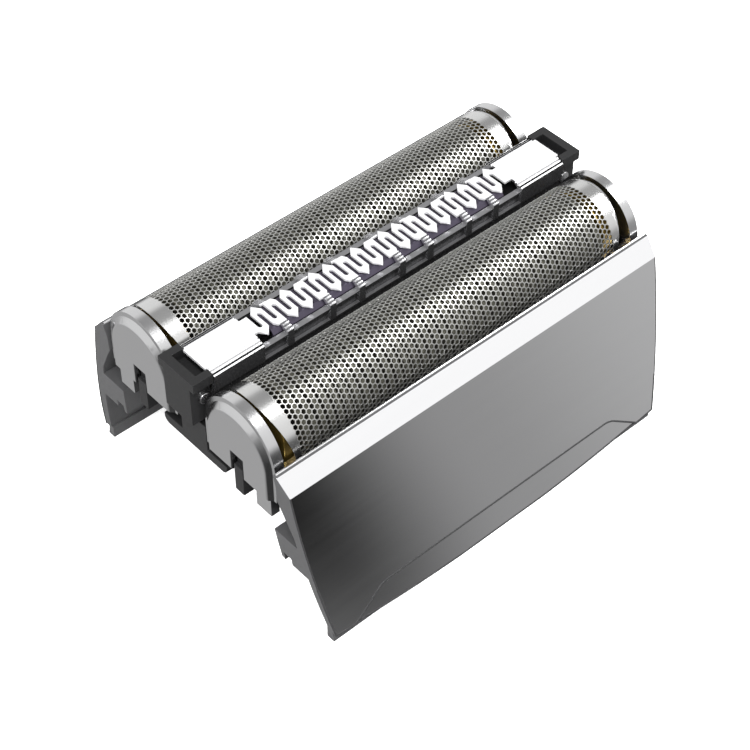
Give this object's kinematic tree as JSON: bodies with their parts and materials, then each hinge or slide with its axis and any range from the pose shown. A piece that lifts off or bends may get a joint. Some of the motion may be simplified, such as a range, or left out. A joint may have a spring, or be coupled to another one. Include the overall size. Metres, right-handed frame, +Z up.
{
  "type": "shaver foil head",
  "caption": "Shaver head cassette: long arched foils over sprung cutters, a meander trimmer between them and flared metallised side skirts.",
  "frame": {"origin": "bottom centre, on the surface that the lower edges of the side skirts stand on", "axes": "+X along the foils, +Y across them towards the rear skirt, +Z up out of the foils"},
  "size_m": [0.0566, 0.0422, 0.0289],
  "materials": {
    "skirt_metal": "mirror gloss",
    "dark_plastic": "matte",
    "silver_plastic": "satin metallic",
    "foil_steel": "bright",
    "blade_steel": "ground",
    "comb_steel": "polished",
    "trimmer_blade_steel": "satin",
    "pin_steel": "satin",
    "spring_steel": "satin",
    "brass": "satin"
  },
  "bodies": {
    "frame": {"front_skirt": "skirt_metal", "rear_skirt": "skirt_metal", "chassis": "dark_plastic", "front_far_spring": "spring_steel", "front_near_spring": "spring_steel", "rear_far_spring": "spring_steel", "rear_near_spring": "spring_steel", "far_trimmer_spring": "spring_steel", "near_trimmer_spring": "spring_steel"},
    "trimmer_unit": {"trimmer_carrier": "dark_plastic", "trimmer_comb": "comb_steel", "far_trimmer_pin": "pin_steel", "near_trimmer_pin": "pin_steel"},
    "trimmer_blade_unit": {"trimmer_blade": "trimmer_blade_steel", "trimmer_drive_block": "dark_plastic"},
    "front_foil_unit": {"front_foil_holder": "silver_plastic", "front_foil": "foil_steel"},
    "front_cutter": {"front_cutter_carrier": "dark_plastic", "front_cutter_blades": "blade_steel", "front_far_end_block": "brass", "front_near_end_block": "brass"},
    "rear_foil_unit": {"rear_foil_holder": "silver_plastic", "rear_foil": "foil_steel"},
    "rear_cutter": {"rear_cutter_carrier": "dark_plastic", "rear_cutter_blades": "blade_steel", "rear_far_end_block": "brass", "rear_near_end_block": "brass"}
  },
  "joints": [
    {"name": "front_foil_lift", "type": "slide", "parent": "frame", "child": "front_foil_unit", "axis": [0, 0, 1], "range_m": [-0.0016, 0], "stiffness_N_per_m": 400, "springref_m": 0.001, "deforming": ["front_far_spring", "front_near_spring"]},
    {"name": "front_cutter_stroke", "type": "slide", "parent": "front_foil_unit", "child": "front_cutter", "axis": [1, 0, 0], "range_m": [-0.0008, 0.0008]},
    {"name": "rear_foil_lift", "type": "slide", "parent": "frame", "child": "rear_foil_unit", "axis": [0, 0, 1], "range_m": [-0.0016, 0], "stiffness_N_per_m": 400, "springref_m": 0.001, "deforming": ["rear_far_spring", "rear_near_spring"]},
    {"name": "rear_cutter_stroke", "type": "slide", "parent": "rear_foil_unit", "child": "rear_cutter", "axis": [1, 0, 0], "range_m": [-0.0008, 0.0008]},
    {"name": "trimmer_lift", "type": "slide", "parent": "frame", "child": "trimmer_unit", "axis": [0, 0, 1], "range_m": [-0.0008, 0], "stiffness_N_per_m": 400, "springref_m": 0.001, "deforming": ["far_trimmer_spring", "near_trimmer_spring"]},
    {"name": "trimmer_blade_stroke", "type": "slide", "parent": "trimmer_unit", "child": "trimmer_blade_unit", "axis": [1, 0, 0], "range_m": [-0.0005, 0.0005]}
  ]
}
